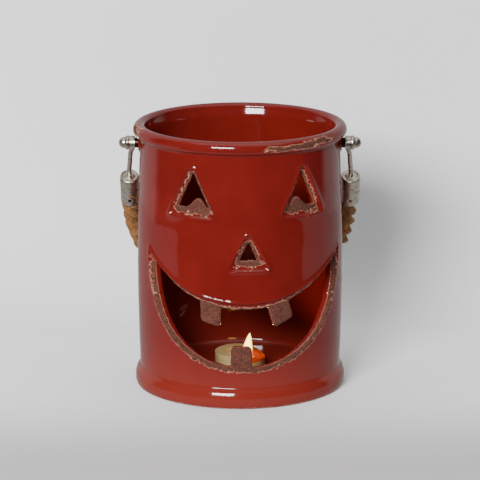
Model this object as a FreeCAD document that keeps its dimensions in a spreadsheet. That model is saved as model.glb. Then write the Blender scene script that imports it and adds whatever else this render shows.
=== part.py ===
import FreeCAD, Part
import math
import os

import Sketcher
from FreeCAD import Placement, Rotation, Vector

# A cylindrical glazed ceramic jack-o'-lantern with a rope handle and a battery tea light.
# +Z is up, the carved face looks towards -Y, and the origin is the centre of the foot.

doc = FreeCAD.newDocument("jack_o_lantern")
sheet = doc.addObject("Spreadsheet::Sheet", "Sizes")

SIZES = {
    # pot, turned on a wheel: radii and heights of the outer and inner walls
    "pot_height": 200.0,
    "foot_rest_radius": 78.6,
    "foot_radius": 79.3,
    "foot_low": 3.0,
    "foot_high": 8.0,
    "foot_crease_radius": 78.2,
    "foot_crease_height": 12.5,
    "wall_low_radius": 75.6,
    "wall_low_height": 16.0,
    "wall_top_radius": 75.2,
    "wall_top_height": 172.0,
    "wall_barrel_radius": 1900.0,
    "barrel_swell": 1.4,
    "neck_radius": 74.2,
    "neck_height": 189.0,
    "bore_radius": 69.0,
    "floor_height": 10.0,
    "underside_recess": 2.5,
    "underside_radius": 60.0,
    "bead_radius": 5.0,
    "bead_centre_radius": 74.8,
    # carved face: angles are measured round the pot from the face's middle, in degrees, and
    # face_turn is the middle's own angle from the line square to the studs
    "face_turn": 4.85,
    "cut_reach": 45.0,
    "bevel_depth": 3.0,
    "eye_angle": 33.0,
    "eye_half_width": 14.5,
    "eye_base_height": 148.5,
    "eye_apex_height": 175.4,
    "eye_bevel": 5.0,
    "pupil_offset": 4.4,
    "pupil_half_width": 7.6,
    "pupil_height": 7.4,
    "nose_half_width": 7.6,
    "nose_base_height": 110.8,
    "nose_apex_height": 125.7,
    "nose_bevel": 5.0,
    "mouth_half_angle": 63.0,
    "mouth_split_angle": 27.0,
    "mouth_overlap_angle": 3.1,
    "mouth_corner_height": 107.0,
    "mouth_upper_dip": 32.3,
    "mouth_lower_dip": 77.0,
    "mouth_fullness": 2.2,
    "mouth_bevel": 4.0,
    "tooth_width": 16.5,
    "tooth_taper": 1.0,
    "tooth_length": 15.3,
    "left_tooth_angle": -22.0,
    "right_tooth_angle": 17.5,
    "right_tooth_lean": 4.6,
    "lower_tooth_angle": -4.0,
    "lower_tooth_length": 16.0,
    # studs that carry the handle
    "stud_height": 184.0,
    "stud_radius": 2.5,
    "stud_hole_radius": 2.75,
    "boss_radius": 5.6,
    "boss_face": 76.0,
    "head_radius": 4.8,
    "head_thickness": 3.0,
    "screw_slot": 1.2,
    "seat_gap": 0.02,
    "ring_clearance": 0.1,
    "inner_washer_radius": 6.0,
    "inner_washer_thickness": 1.2,
    "spacer_radius": 3.8,
    "spacer_thickness": 2.4,
    "eye_thickness": 4.0,
    "eye_outer_radius": 5.2,
    "eye_hole_radius": 2.58,
    "side_play": 0.15,
    "knob_flange_radius": 5.25,
    "knob_flange_thickness": 2.5,
    "knob_flange_edge": 0.6,
    "knob_bore_depth": 1.5,
    "knob_ball_radius": 4.2,
    "knob_end": 90.6,
    # handle, drawn in its own plane: distances from the stud axis down to the rope's bight
    "handle_lean": 34.2,
    "rod_radius": 1.8,
    "rod_elbow": 5.6,
    "rod_bend": 10.6,
    "rod_bend_offset": 82.1,
    "rod_foot_offset": 83.7,
    "rod_foot_straight": 4.4,
    "rod_end_margin": 0.6,
    "rod_clearance": 0.05,
    "rod_head_radius": 3.4,
    "rod_head_thickness": 1.6,
    "ferrule_top": 36.0,
    "ferrule_bottom": 63.0,
    "ferrule_radius": 7.2,
    "ferrule_wall": 0.6,
    "ferrule_edge": 1.0,
    "rivet_radius": 1.2,
    "rivet_position": 57.0,
    "rivet_depth": 3.0,
    "rivet_sunk": 0.3,
    "rope_radius": 6.1,
    # battery tea light
    "cup_radius": 19.0,
    "cup_height": 7.2,
    "cup_wall": 1.2,
    "cup_floor": 1.6,
    "cup_edge": 0.6,
    "wax_crest": 5.6,
    "wax_low": 0.5,
    "wax_crest_offset": -4.0,
    "wax_fall_radius": 60.0,
    "pool_radius": 24.0,
    "pool_depth": 2.4,
    "flame_offset": 5.0,
    "flame_radius": 4.0,
    "flame_stem_radius": 2.8,
    "flame_height": 18.0,
    "flame_sunk": 1.4,
    "flame_lean": 8.0,
    "flame_wall": 0.6,
    "door_offset": 4.5,
    "door_radius": 11.1,
    "door_hole_radius": 11.2,
    "coin_slot_depth": 0.6,
    "coin_slot_length": 12.0,
    "coin_slot_width": 1.6,
    "door_recess": 0.4,
    "lug_reach": 1.4,
    "lug_thickness": 0.8,
    "lug_half_angle": 14.0,
    "lug_root": 2.0,
    "cell_gap": 0.1,
    "door_rise": 0.06,
    "cell_radius": 10.0,
    "cell_thickness": 3.2,
    "contact_thickness": 0.28,
    "contact_width": 5.0,
    "contact_length": 16.0,
    "board_drop": 1.1,
    "board_radius": 16.0,
    "board_thickness": 0.8,
    "led_radius": 1.5,
    "led_height": 3.5,
    "switch_offset": 12.8,
    "switch_width": 2.6,
    "switch_length": 3.4,
    "switch_travel": 3.0,
    "switch_gap": 0.1,
    "switch_sunk": 0.3,
    "shoe_margin": 0.5,
    "shoe_thickness": 1.2,
}

for row, (alias, value) in enumerate(SIZES.items(), start=1):
    sheet.set(f"A{row}", alias)
    sheet.set(f"B{row}", str(value))
    sheet.setAlias(f"B{row}", alias)
doc.recompute()


def size(alias):
    return float(getattr(sheet, alias))


def bind(thing, **cells):
    """Tie properties of a document object to expressions of the sheet's cells."""
    for prop, expression in cells.items():
        thing.setExpression(prop, expression)
    return thing


def cell(name):
    return f"Sizes.{name}"


# ---------------------------------------------------------------- sketch helpers

def origin_plane(body, role):
    return next(f for f in body.Origin.OriginFeatures if f.Role == role)


def new_sketch(body, name, role, offset=None):
    sketch = body.newObject("Sketcher::SketchObject", name)
    sketch.AttachmentSupport = [(origin_plane(body, role), "")]
    sketch.MapMode = "FlatFace"
    if offset is not None:
        sketch.AttachmentOffset = offset
    return sketch


def pin_point(sketch, index, point, value, axis, expression=None):
    """Hold one end of a sketch edge at a distance from the sketch's origin."""
    kind = "DistanceX" if axis == 0 else "DistanceY"
    number = sketch.addConstraint(Sketcher.Constraint(kind, -1, 1, index, point, value))
    if expression:
        sketch.setExpression(f"Constraints[{number}]", expression)


def draw_outline(sketch, corners, arcs=None):
    """Closed outline through corners; a corner is (x, y) or ((x, cell), (y, cell)).

    arcs maps an edge's number to (radius, cell), an arc that bulges to the right of its travel.
    """
    arcs = arcs or {}
    values = [tuple(c[0] if isinstance(c, tuple) else c for c in corner) for corner in corners]
    count = len(values)
    for i, (x, y) in enumerate(values):
        end = values[(i + 1) % count]
        start_v, end_v = Vector(x, y, 0), Vector(end[0], end[1], 0)
        if i in arcs:
            radius = arcs[i][0]
            chord = end_v - start_v
            right = Vector(chord.y, -chord.x, 0).normalize()
            rise = radius - math.sqrt(radius ** 2 - (chord.Length / 2) ** 2)
            middle = (start_v + end_v) * 0.5 + right * rise
            sketch.addGeometry(Part.Arc(start_v, middle, end_v))
        else:
            sketch.addGeometry(Part.LineSegment(start_v, end_v))
    for i in range(count):
        # an arc's geometry always runs counter-clockwise, so its ends are asked for
        here = end_point(sketch, i, values[i])
        before = (i - 1) % count
        there = end_point(sketch, before, values[i])
        sketch.addConstraint(Sketcher.Constraint("Coincident", before, there, i, here))
        for axis in (0, 1):
            item = corners[i][axis]
            expression = cell(item[1]) if isinstance(item, tuple) else None
            pin_point(sketch, i, here, values[i][axis], axis, expression)
    for i, (radius, name) in arcs.items():
        number = sketch.addConstraint(Sketcher.Constraint("Radius", i, radius))
        sketch.setExpression(f"Constraints[{number}]", cell(name))


def end_point(sketch, index, point):
    edge = sketch.Geometry[index]
    near = Vector(point[0], point[1], 0)
    return 1 if (edge.StartPoint - near).Length < 1e-6 else 2


def draw_circle(sketch, x, y, radius, name):
    index = sketch.addGeometry(Part.Circle(Vector(x, y, 0), Vector(0, 0, 1), radius))
    pin_point(sketch, index, 3, x, 0)
    pin_point(sketch, index, 3, y, 1)
    number = sketch.addConstraint(Sketcher.Constraint("Radius", index, radius))
    sketch.setExpression(f"Constraints[{number}]", cell(name))
    return index


def sized(name):
    """A value of the sheet together with the cell that holds it."""
    return (size(name), name)


def new_body(label):
    body = doc.addObject("PartDesign::Body", label)
    body.Label = label
    return body


def revolve(body, name, sketch, axis="V_Axis"):
    feature = body.newObject("PartDesign::Revolution", name)
    feature.Profile = sketch
    feature.ReferenceAxis = (sketch, [axis])
    feature.Angle = 360.0
    return feature


def pocket(body, name, sketch, length, reverse=False):
    feature = body.newObject("PartDesign::Pocket", name)
    feature.Profile = sketch
    feature.Reversed = reverse
    bind(feature, Length=length)
    return feature


def pad(body, name, sketch, length, reverse=False):
    feature = body.newObject("PartDesign::Pad", name)
    feature.Profile = sketch
    feature.Reversed = reverse
    bind(feature, Length=length)
    return feature


# ---------------------------------------------------------------- ceramic pot

MIDDLE_RADIUS = (size("bore_radius") + size("wall_low_radius")) / 2
BARREL_RADIUS = size("wall_low_radius") + size("barrel_swell")


def face_plane(degrees, distance):
    """Sketch plane on the face, turned round the pot's axis: x to the right, y up, z outwards."""
    around = degrees + size("face_turn")
    turned = Rotation(Vector(0, 0, 1), around) * Rotation(Vector(1, 0, 0), 90)
    return Placement(turned.multVec(Vector(0, 0, distance)), turned)


def face_sketch(body, name, degrees, distance):
    """XY plane carried to the tangent plane of the pot at an angle from the front."""
    return new_sketch(body, name, "XY_Plane", face_plane(degrees, distance))


def grown(corners, margin):
    """Offset a convex outline, listed counter-clockwise, outwards by a margin."""
    lines = []
    for i, (x, y) in enumerate(corners):
        nx, ny = corners[(i + 1) % len(corners)]
        length = math.hypot(nx - x, ny - y)
        ox, oy = (ny - y) / length * margin, -(nx - x) / length * margin
        lines.append((x + ox, y + oy, nx - x, ny - y))
    result = []
    for i, (x1, y1, dx1, dy1) in enumerate(lines):
        x2, y2, dx2, dy2 = lines[i - 1]
        t = ((x2 - x1) * dy2 - (y2 - y1) * dx2) / (dx1 * dy2 - dy1 * dx2)
        result.append((x1 + t * dx1, y1 + t * dy1))
    return result


def cut_face(body, name, degrees, hole, bevel):
    """Cut a hole straight through the wall, and a shallow ledge round it."""
    outside = MIDDLE_RADIUS + size("cut_reach") / 2
    sketch = face_sketch(body, f"{name}_hole_outline", degrees, outside)
    draw_outline(sketch, hole)
    pocket(body, f"{name}_hole", sketch, cell("cut_reach"))
    ledge = face_sketch(body, f"{name}_ledge_outline", degrees, outside)
    draw_outline(ledge, bevel)
    depth = f"{cell('cut_reach')} / 2 - {BARREL_RADIUS - MIDDLE_RADIUS} + {cell('bevel_depth')}"
    pocket(body, f"{name}_ledge", ledge, depth)


def triangle(half, base, apex):
    return [(-half, base), (half, base), (0.0, apex)]


def mouth_edges(degrees):
    """Lower and upper edge of the smile: lowest in the middle, meeting at its corners."""
    share = min(abs(degrees) / size("mouth_half_angle"), 1.0)
    fall = 1.0 - share ** size("mouth_fullness")
    corner = size("mouth_corner_height")
    lower = corner - size("mouth_lower_dip") * math.sqrt(fall)
    return lower, corner - size("mouth_upper_dip") * fall


def mouth_piece(start, end, centre, steps, margin=0.0):
    """Part of the smile between two angles, flattened on the plane that faces `centre`."""
    lower, upper = [], []
    for i in range(steps + 1):
        angle = start + (end - start) * i / steps
        x = MIDDLE_RADIUS * math.sin(math.radians(angle - centre))
        low, high = mouth_edges(angle)
        lower.append((x, low - margin))
        upper.append((x, high + margin))
    return lower, upper[::-1]


def add_tooth(edge, angle, depth, lean=0.0):
    """Put a tooth's outline into an edge of the smile; a negative depth points upwards."""
    half = size("tooth_width") / 2
    x = MIDDLE_RADIUS * math.sin(math.radians(angle))
    root = min(edge, key=lambda p: abs(p[0] - x))[1]
    kept = [p for p in edge if abs(p[0] - x) > half + 0.5]
    tip = half - size("tooth_taper")
    return kept + [(x - half, root), (x - tip + lean, root - depth),
                   (x + tip + lean, root - depth + lean), (x + half, root + lean)]


def add_teeth(upper, lower):
    """Two upper teeth and one lower tooth in the middle of the smile."""
    upper = add_tooth(upper, size("left_tooth_angle"), size("tooth_length"))
    upper = add_tooth(upper, size("right_tooth_angle"), size("tooth_length"),
                      size("right_tooth_lean"))
    lower = add_tooth(lower, size("lower_tooth_angle"), -size("lower_tooth_length"))
    return in_order(upper, -1), in_order(lower, 1)


def in_order(edge, direction):
    """The roots of a tooth stand at its sides, so the points are ordered by x."""
    return sorted(edge, key=lambda p: direction * p[0])


def make_pot():
    body = new_body("ceramic_pot")
    wall = new_sketch(body, "wall_outline", "XZ_Plane")
    outline = [
        (0.0, "underside_recess"),
        ("underside_radius", "underside_recess"),
        ("underside_radius", 0.0),
        ("foot_rest_radius", 0.0),
        ("foot_radius", "foot_low"),
        ("foot_radius", "foot_high"),
        ("foot_crease_radius", "foot_crease_height"),
        ("wall_low_radius", "wall_low_height"),
        ("wall_top_radius", "wall_top_height"),
        ("neck_radius", "neck_height"),
        ("bead_centre_radius", "neck_height"),
        ("bead_centre_radius", "pot_height"),
    ]
    corners = [tuple(sized(v) if isinstance(v, str) else v for v in c) for c in outline]
    # the rim's solid core ends under the rolled bead
    rim_core = size("pot_height") - size("bead_radius")
    corners[-1] = (corners[-1][0], rim_core)
    corners += [(sized("bore_radius"), rim_core),
                (sized("bore_radius"), sized("floor_height")),
                (0.0, sized("floor_height"))]
    draw_outline(wall, corners, {7: sized("wall_barrel_radius")})
    revolve(body, "wall", wall)
    bead = new_sketch(body, "bead_outline", "XZ_Plane")
    draw_circle(bead, size("bead_centre_radius"), rim_core, size("bead_radius"), "bead_radius")
    revolve(body, "rim_bead", bead)

    for side, sign in (("left", -1), ("right", 1)):
        face = Placement(Vector(0, 0, sign * size("boss_face")), Rotation())
        boss = new_sketch(body, f"{side}_boss_outline", "YZ_Plane", face)
        draw_circle(boss, 0.0, size("stud_height"), size("boss_radius"), "boss_radius")
        pad(body, f"{side}_boss", boss, f"{cell('boss_face')} - {cell('bore_radius')} - 1", sign > 0)
    stud_line = new_sketch(body, "stud_hole_outline", "YZ_Plane")
    draw_circle(stud_line, 0.0, size("stud_height"), size("stud_hole_radius"), "stud_hole_radius")
    holes = body.newObject("PartDesign::Pocket", "stud_holes")
    holes.Profile = stud_line
    holes.Type = "ThroughAll"
    holes.Midplane = True

    eye_base, eye_apex = size("eye_base_height"), size("eye_apex_height")
    outer_eye = triangle(size("eye_half_width"), eye_base, eye_apex)
    pupil = size("pupil_half_width")
    for side, sign in (("left", -1), ("right", 1)):
        mound = [(pupil * math.cos(math.radians(a)) - sign * size("pupil_offset"),
                  eye_base + size("pupil_height") * math.sin(math.radians(a)))
                 for a in range(180, -1, -30)]
        eye_hole = [(-size("eye_half_width"), eye_base), *mound,
                    (size("eye_half_width"), eye_base), (0.0, eye_apex)]
        cut_face(body, f"{side}_eye", sign * size("eye_angle"), eye_hole,
                 grown(outer_eye, size("eye_bevel")))
    nose = triangle(size("nose_half_width"), size("nose_base_height"), size("nose_apex_height"))
    cut_face(body, "nose", 0.0, nose, grown(nose, size("nose_bevel")))

    split, reach = size("mouth_split_angle"), size("mouth_half_angle")
    lower, upper = mouth_piece(-split, split, 0.0, 12)
    upper, lower = add_teeth(upper, lower)
    ledge_lower, ledge_upper = mouth_piece(-split, split, 0.0, 6, size("mouth_bevel"))
    cut_face(body, "mouth_middle", 0.0, lower + upper, ledge_lower + ledge_upper)
    inner_end = split - size("mouth_overlap_angle")
    for side, sign in (("left", -1), ("right", 1)):
        ends = sorted((sign * inner_end, sign * reach * 0.999))
        centre = sign * (split + reach) / 2
        lower, upper = mouth_piece(ends[0], ends[1], centre, 7)
        ledge_lower, ledge_upper = mouth_piece(ends[0], ends[1], centre, 7, size("mouth_bevel"))
        cut_face(body, f"mouth_{side}", centre, lower + upper, ledge_lower + ledge_upper)
    return body


# ---------------------------------------------------------------- studs and knobs

def cylinder(name, radius, height, x=0.0, y=0.0, z=0.0, along_x=0):
    """Part::Cylinder bound to cells, standing on (x, y, z); along_x is its direction on X or 0."""
    solid = doc.addObject("Part::Cylinder", name)
    bind(solid, Radius=radius, Height=height)
    turn = Rotation(Vector(0, 0, 1), Vector(along_x, 0, 0)) if along_x else Rotation()
    solid.Placement = Placement(Vector(x, y, z), turn)
    return solid


def boolean(kind, label, first, second):
    joined = doc.addObject(kind, label)
    if kind == "Part::MultiCommon":
        joined.Shapes = [first, second]
    else:
        joined.Base = first
        joined.Tool = second
    joined.Label = label
    return joined


def fuse(label, *solids):
    joined = doc.addObject("Part::MultiFuse", label)
    joined.Shapes = list(solids)
    joined.Label = label
    return joined


def stack_positions():
    """Distances from the pot's axis of the faces along one stud, from inside to outside."""
    washer_edge = math.sqrt(size("bore_radius") ** 2 - size("inner_washer_radius") ** 2)
    washer_face = washer_edge - size("inner_washer_thickness") - size("seat_gap")
    spacer_face = size("boss_face")
    eye_face = spacer_face + size("spacer_thickness") + size("side_play")
    knob_face = eye_face + size("eye_thickness") + size("side_play")
    return washer_face, spacer_face, eye_face, knob_face


def make_stud(side, sign):
    """Screw through the wall: pan head inside, bare shank for the handle's eye outside."""
    washer_face, _, _, knob_face = stack_positions()
    start = washer_face - size("head_thickness")
    up = size("stud_height")
    head = cylinder(f"{side}_stud_head", cell("head_radius"), cell("head_thickness"),
                    sign * start, 0, up, sign)
    shank = doc.addObject("Part::Cylinder", f"{side}_stud_shank")
    bind(shank, Radius=cell("stud_radius"))
    shank.Height = knob_face + size("knob_flange_thickness") + size("knob_bore_depth") - start
    shank.Placement = Placement(Vector(sign * start, 0, up),
                                Rotation(Vector(0, 0, 1), Vector(sign, 0, 0)))
    solid = fuse(f"{side}_stud_solid", head, shank)
    slot = doc.addObject("Part::Box", f"{side}_stud_slot")
    bind(slot, Width=f"2.4 * {cell('head_radius')}")
    bind(slot, Length=cell("screw_slot"), Height=cell("screw_slot"))
    cut = size("screw_slot")
    low = start if sign > 0 else -start - cut
    slot.Placement = Placement(Vector(low, -1.2 * size("head_radius"), up - cut / 2), Rotation())
    return boolean("Part::Cut", f"{side}_stud", solid, slot)


def make_ring(label, outer, inner, thickness, x, sign):
    up = size("stud_height")
    disc = cylinder(f"{label}_disc", cell(outer), cell(thickness), sign * x, 0, up, sign)
    hole = cylinder(f"{label}_hole", inner, f"2 * {cell(thickness)}",
                    sign * (x - size(thickness) / 2), 0, up, sign)
    return boolean("Part::Cut", label, disc, hole)


def make_knob(side, sign):
    """Cap nut with a round flange and a ball end."""
    knob_face = stack_positions()[3]
    body = new_body(f"{side}_knob")
    sketch = new_sketch(body, f"{side}_knob_outline", "XZ_Plane")
    end = size("knob_end")
    flange = size("knob_flange_radius")
    step = knob_face + size("knob_flange_thickness")
    ball = size("knob_ball_radius")
    bore_end = step + size("knob_bore_depth")
    edge = size("knob_flange_edge")
    draw_outline(sketch, [
        (knob_face, sized("stud_radius")),
        (bore_end, sized("stud_radius")),
        (bore_end, 0.0),
        (sized("knob_end"), 0.0),
        (end - ball, sized("knob_ball_radius")),
        (step, sized("knob_ball_radius")),
        (step, flange - edge),
        (step - edge, sized("knob_flange_radius")),
        (knob_face, sized("knob_flange_radius")),
    ], {3: sized("knob_ball_radius")})
    revolve(body, f"{side}_knob_turned", sketch, "H_Axis")
    turn = Rotation() if sign > 0 else Rotation(Vector(0, 0, 1), 180)
    body.Placement = Placement(Vector(0, 0, size("stud_height")), turn)
    return body


# ---------------------------------------------------------------- handle

def handle_place():
    """The handle's own plane: x across, z up the handle, leaning back from the stud axis."""
    lean = Rotation(Vector(1, 0, 0), size("handle_lean"))
    return Placement(Vector(0, 0, size("stud_height")), lean)


def rounded_path(points):
    """Straight runs joined by tangent arcs, each arc as large as its two runs allow."""
    edges = []
    position = points[0]
    for before, corner, after in zip(points, points[1:], points[2:]):
        back, ahead = before - corner, after - corner
        turn = math.pi - back.getAngle(ahead)
        trim = 0.45 * min(back.Length, ahead.Length)
        radius = trim / math.tan(turn / 2)
        back.normalize()
        ahead.normalize()
        start, end = corner + back * trim, corner + ahead * trim
        inward = (back + ahead).normalize()
        centre = corner + inward * (radius / math.cos(turn / 2))
        middle = centre - inward * radius
        edges.append(Part.LineSegment(position, start).toShape())
        edges.append(Part.Arc(start, middle, end).toShape())
        position = end
    edges.append(Part.LineSegment(position, points[-1]).toShape())
    return Part.Wire(edges)


def make_hanger(side, sign):
    """Rod with an eye round the stud at one end and a swaged head in the ferrule at the other."""
    eye_face = stack_positions()[2]
    middle = eye_face + size("eye_thickness") / 2
    foot = size("rod_foot_offset")
    elbow, top = size("rod_elbow"), size("ferrule_top")
    tip = top + size("ferrule_wall") + size("rod_end_margin")
    route = [Vector(middle, 0, -size("eye_hole_radius")), Vector(middle, 0, -elbow),
             Vector(size("rod_bend_offset"), 0, -size("rod_bend")),
             Vector(foot, 0, -top + size("rod_foot_straight")), Vector(foot, 0, -tip)]
    path = rounded_path(route)
    section = Part.Wire([Part.Circle(route[0], Vector(0, 0, -1), size("rod_radius")).toShape()])
    rod = path.makePipeShell([section], True, False)
    ring = Part.makeCylinder(size("eye_outer_radius"), size("eye_thickness"),
                             Vector(eye_face, 0, 0), Vector(1, 0, 0))
    head_face = Vector(foot, 0, -top - size("ferrule_wall") - size("seat_gap"))
    head = Part.makeCylinder(size("rod_head_radius"), size("rod_head_thickness"), head_face,
                             Vector(0, 0, -1))
    hole = Part.makeCylinder(size("eye_hole_radius"), size("eye_thickness") * 3,
                             Vector(eye_face - size("eye_thickness"), 0, 0), Vector(1, 0, 0))
    shape = ring.fuse([rod, head]).cut(hole).removeSplitter()
    if sign < 0:
        shape = shape.mirror(Vector(0, 0, 0), Vector(1, 0, 0))
    hanger = doc.addObject("Part::Feature", f"{side}_hanger")
    hanger.Label = f"{side}_hanger"
    hanger.Shape = shape
    hanger.Placement = handle_place()
    return hanger


def make_ferrule(side, sign):
    """Deep-drawn metal cup over the rope's end, with a hole for the rod in its closed end."""
    body = new_body(f"{side}_ferrule")
    sketch = new_sketch(body, f"{side}_ferrule_outline", "XZ_Plane")
    top, bottom = -size("ferrule_top"), -size("ferrule_bottom")
    outer, wall = size("ferrule_radius"), size("ferrule_wall")
    hole, edge = size("rod_radius") + size("rod_clearance"), size("ferrule_edge")
    draw_outline(sketch, [
        (hole, top - wall),
        (outer - wall, top - wall),
        (outer - wall, bottom),
        (sized("ferrule_radius"), bottom),
        (sized("ferrule_radius"), top - edge),
        (outer - edge, top),
        (hole, top),
    ])
    revolve(body, f"{side}_ferrule_drawn", sketch)
    dent = new_sketch(body, f"{side}_rivet_hole_outline", "XZ_Plane")
    draw_circle(dent, 0.0, -size("rivet_position"), size("rivet_radius"), "rivet_radius")
    pocket(body, f"{side}_rivet_hole", dent, f"{cell('ferrule_radius')} + 1", True)
    body.Placement = handle_place() * Placement(Vector(sign * size("rod_foot_offset"), 0, 0),
                                                Rotation())
    return body


def make_rivet(side, sign):
    """Short pin that holds the rope in its ferrule; its face sits just under the metal."""
    pin = doc.addObject("Part::Cylinder", f"{side}_rivet")
    bind(pin, Radius=f"{cell('rivet_radius')} - {cell('seat_gap')}", Height=cell("rivet_depth"))
    pin.Label = f"{side}_rivet"
    front = -size("ferrule_radius") + size("rivet_sunk")
    local = Placement(Vector(sign * size("rod_foot_offset"), front, -size("rivet_position")),
                      Rotation(Vector(0, 0, 1), Vector(0, 1, 0)))
    pin.Placement = handle_place() * local
    return pin


# The rope's route in the handle's plane, right half: across, and down from the stud axis.
ROPE_ROUTE = [(83.7, 42.0), (83.5, 82.0), (72.0, 124.0), (36.0, 150.0)]


def make_rope():
    right = [Vector(x, 0, -down) for x, down in ROPE_ROUTE]
    left = [Vector(-p.x, 0, p.z) for p in reversed(right)]
    path = rounded_path(right + left)
    section = Part.Wire([Part.Circle(right[0], right[1] - right[0], size("rope_radius")).toShape()])
    solid = path.makePipeShell([section], True, False)
    expected = math.pi * size("rope_radius") ** 2 * path.Length
    print(f"rope length {path.Length:.1f} mm, volume ratio {solid.Volume / expected:.4f}")
    rope = doc.addObject("Part::Feature", "rope")
    rope.Label = "rope"
    rope.Shape = solid
    rope.Placement = handle_place()
    return rope


# ---------------------------------------------------------------- tea light

def tealight_base():
    return size("floor_height")


def make_cup():
    """Plastic cup with a round battery opening and a switch slot in its floor."""
    body = new_body("tealight_cup")
    sketch = new_sketch(body, "cup_outline", "XZ_Plane")
    outer, wall, floor = size("cup_radius"), size("cup_wall"), size("cup_floor")
    draw_outline(sketch, [
        (0.0, 0.0),
        (outer - size("cup_edge"), 0.0),
        (sized("cup_radius"), sized("cup_edge")),
        (sized("cup_radius"), sized("cup_height")),
        (outer - wall, sized("cup_height")),
        (outer - wall, sized("cup_floor")),
        (0.0, sized("cup_floor")),
    ])
    revolve(body, "cup_moulding", sketch)
    opening = new_sketch(body, "door_opening_outline", "XY_Plane")
    draw_circle(opening, -size("door_offset"), 0.0, size("door_hole_radius"), "door_hole_radius")
    pocket(body, "door_opening", opening, f"2 * {cell('cup_floor')}", True)
    slot = new_sketch(body, "switch_slot_outline", "XY_Plane")
    half_x = size("switch_width") / 2 + size("switch_gap")
    low = -size("switch_length") / 2 - size("switch_gap")
    high = size("switch_length") / 2 + size("switch_travel") + size("switch_gap")
    centre = size("switch_offset")
    draw_outline(slot, [(centre - half_x, low), (centre + half_x, low),
                        (centre + half_x, high), (centre - half_x, high)])
    pocket(body, "switch_slot", slot, f"2 * {cell('cup_floor')}", True)
    body.Placement = Placement(Vector(0, 0, tealight_base()), Rotation())
    return body


def make_wax():
    """Imitation wax: high on the left, melted down on the right, with a shallow pool."""
    base = tealight_base() + size("cup_height")
    edge = size("cup_radius") + 0.5
    block = new_body("wax_block")
    sketch = new_sketch(block, "wax_outline", "XZ_Plane")
    crest, crest_x = size("wax_crest"), size("wax_crest_offset")
    draw_outline(sketch, [(-edge, 0.0), (edge, 0.0), (edge, sized("wax_low")),
                          (sized("wax_crest_offset"), sized("wax_crest")), (-edge, crest - 0.4)],
                 {2: sized("wax_fall_radius")})
    pad(block, "wax_slab", sketch, f"3 * {cell('cup_radius')}").Midplane = True
    block.Placement = Placement(Vector(0, 0, base), Rotation())
    round_block = cylinder("wax_round", cell("cup_radius"), cell("wax_crest"), 0, 0, base)
    shaped = boolean("Part::MultiCommon", "wax_shaped", block, round_block)
    pool = doc.addObject("Part::Sphere", "wax_pool")
    bind(pool, Radius=cell("pool_radius"))
    pool_height = base + crest - size("pool_depth") + size("pool_radius")
    pool.Placement = Placement(Vector(crest_x + size("flame_offset") / 2, 0, pool_height), Rotation())
    seat = cylinder("flame_seat", f"{cell('flame_radius')} - 1", cell("flame_height"),
                    size("flame_offset"), 0, base - 5)
    pooled = boolean("Part::Cut", "wax_with_pool", shaped, pool)
    return boolean("Part::Cut", "tealight_wax", pooled, seat)


def make_flame():
    """Hollow leaning flame of clear plastic, standing in the wax."""
    body = new_body("flame_lens")
    sketch = new_sketch(body, "flame_outline", "XZ_Plane")
    radius, height, wall = size("flame_radius"), size("flame_height"), size("flame_wall")
    belly = height * 0.3
    stem = size("flame_stem_radius")
    draw_outline(sketch, [
        (stem - wall, 0.0),
        (sized("flame_stem_radius"), 0.0),
        (sized("flame_radius"), belly),
        (radius * 0.42, height * 0.8),
        (0.0, sized("flame_height")),
        (0.0, height - 3 * wall),
        (radius - wall - 0.6, belly),
    ])
    revolve(body, "flame_moulding", sketch)
    base = tealight_base() + size("cup_height") + size("flame_sunk")
    body.Placement = Placement(Vector(size("flame_offset"), 0, base),
                               Rotation(Vector(0, 1, 0), size("flame_lean")))
    return body


def make_board():
    base = tealight_base() + size("cup_height") - size("board_drop")
    board = cylinder("circuit_board", cell("board_radius"), cell("board_thickness"), 0, 0, base)
    board.Label = "circuit_board"
    return board


def make_led():
    base = tealight_base() + size("cup_height") - size("board_drop") + size("board_thickness")
    x = size("flame_offset")
    tube = cylinder("led_tube", cell("led_radius"), cell("led_height"), x, 0, base)
    dome = doc.addObject("Part::Sphere", "led_dome")
    bind(dome, Radius=cell("led_radius"))
    dome.Placement = Placement(Vector(x, 0, base + size("led_height")), Rotation())
    return fuse("led", tube, dome)


def cell_base():
    return tealight_base() + size("cup_floor") + size("lug_thickness") + 2 * size("cell_gap")


def make_coin_cell():
    solid = cylinder("coin_cell", cell("cell_radius"), cell("cell_thickness"),
                     -size("door_offset"), 0, cell_base())
    solid.Label = "coin_cell"
    return solid


def make_contact():
    """Flat spring strip between the top of the cell and the underside of the board."""
    strip = doc.addObject("Part::Box", "battery_contact")
    bind(strip, Length=cell("contact_length"), Width=cell("contact_width"),
         Height=cell("contact_thickness"))
    strip.Placement = Placement(Vector(-size("door_offset") - size("contact_length") / 2,
                                       -size("contact_width") / 2,
                                       cell_base() + size("cell_thickness")), Rotation())
    strip.Label = "battery_contact"
    return strip


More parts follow.
